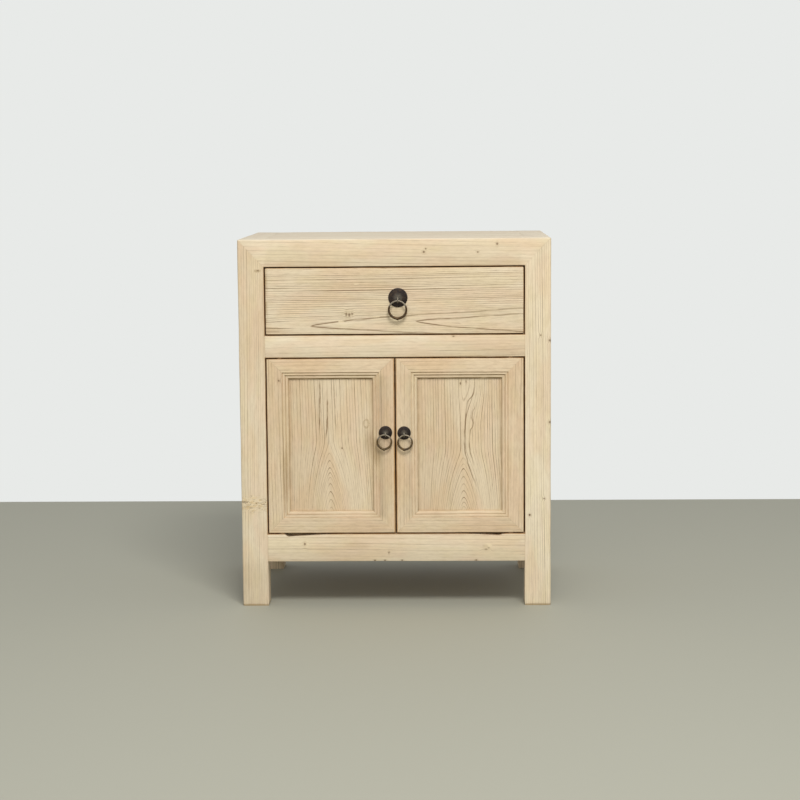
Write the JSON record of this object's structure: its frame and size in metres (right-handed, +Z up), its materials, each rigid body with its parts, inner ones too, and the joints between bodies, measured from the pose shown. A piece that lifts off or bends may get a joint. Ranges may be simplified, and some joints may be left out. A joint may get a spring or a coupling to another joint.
{
  "type": "nightstand",
  "caption": "Low East Asian style cabinet of pale wood: a mitred post-and-rail frame with a drawer over a pair of moulded panel doors, all with dark iron ring pulls.",
  "frame": {"origin": "on the floor, under the middle of the whole object, pulls included", "axes": "+Z up, front faces -Y, +X to the right as seen from the front"},
  "size_m": [0.6, 0.4142, 0.714],
  "materials": {
    "frame_wood": "pale natural elm, sanded and waxed, with a low sheen",
    "panel_wood": "pale natural elm boards with broad cathedral grain, waxed",
    "bare_wood": "unfinished inside timber, planed",
    "dark_iron": "blackened iron, rubbed brighter on its edges"
  },
  "bodies": {
    "carcass": {"back_panel_lower": "bare_wood", "back_panel_upper": "bare_wood", "bottom_rail_back": "frame_wood", "bottom_rail_front": "frame_wood", "bottom_rail_left": "frame_wood", "bottom_rail_right": "frame_wood", "door_stop": "bare_wood", "drawer_guide_left": "bare_wood", "drawer_guide_right": "bare_wood", "drawer_runner_left": "bare_wood", "drawer_runner_right": "bare_wood", "drawer_stops": "bare_wood", "floor_board_back": "bare_wood", "floor_board_front": "bare_wood", "middle_rail_back": "frame_wood", "middle_rail_front": "frame_wood", "post_back_left": "frame_wood", "post_back_right": "frame_wood", "post_front_left": "frame_wood", "post_front_right": "frame_wood", "side_panel_left": "panel_wood", "side_panel_right": "panel_wood", "top_batten": "bare_wood", "top_board_back": "frame_wood", "top_board_front": "frame_wood", "top_board_middle": "frame_wood", "top_rail_back": "frame_wood", "top_rail_front": "frame_wood", "top_rail_left": "frame_wood", "top_rail_right": "frame_wood"},
    "drawer": {"drawer_back": "bare_wood", "drawer_bottom": "bare_wood", "drawer_front": "frame_wood", "drawer_pull_pin": "dark_iron", "drawer_pull_plate": "dark_iron", "drawer_side_left": "bare_wood", "drawer_side_right": "bare_wood"},
    "drawer_ring": {"drawer_pull_ring": "dark_iron"},
    "left_door": {"left_door_bottom_rail": "frame_wood", "left_door_hinge_stile": "frame_wood", "left_door_meeting_stile": "frame_wood", "left_door_panel": "panel_wood", "left_door_pivot_bottom": "frame_wood", "left_door_pivot_top": "frame_wood", "left_door_pull_pin": "dark_iron", "left_door_pull_plate": "dark_iron", "left_door_top_rail": "frame_wood"},
    "left_door_ring": {"left_door_pull_ring": "dark_iron"},
    "right_door": {"right_door_bottom_rail": "frame_wood", "right_door_hinge_stile": "frame_wood", "right_door_meeting_stile": "frame_wood", "right_door_panel": "panel_wood", "right_door_pivot_bottom": "frame_wood", "right_door_pivot_top": "frame_wood", "right_door_pull_pin": "dark_iron", "right_door_pull_plate": "dark_iron", "right_door_top_rail": "frame_wood"},
    "right_door_ring": {"right_door_pull_ring": "dark_iron"}
  },
  "joints": [
    {"name": "drawer_slide", "type": "slide", "parent": "carcass", "child": "drawer", "axis": [0, -1, 0], "range_m": [0, 0.26]},
    {"name": "left_door_hinge", "type": "hinge", "parent": "carcass", "child": "left_door", "pos_m": [-0.2225, -0.1829, 0.314], "axis": [0, 0, -1], "range_deg": [0, 110]},
    {"name": "right_door_hinge", "type": "hinge", "parent": "carcass", "child": "right_door", "pos_m": [0.2225, -0.1829, 0.314], "axis": [0, 0, 1], "range_deg": [0, 110]},
    {"name": "drawer_ring_swing", "type": "hinge", "parent": "drawer", "child": "drawer_ring", "pos_m": [0.007, -0.2015, 0.59535], "axis": [-1, 0, 0], "range_deg": [-10, 165]},
    {"name": "left_door_ring_swing", "type": "hinge", "parent": "left_door", "child": "left_door_ring", "pos_m": [-0.019, -0.2002, 0.33655], "axis": [-1, 0, 0], "range_deg": [-10, 165]},
    {"name": "right_door_ring_swing", "type": "hinge", "parent": "right_door", "child": "right_door_ring", "pos_m": [0.017, -0.2002, 0.33575], "axis": [-1, 0, 0], "range_deg": [-10, 165]}
  ]
}
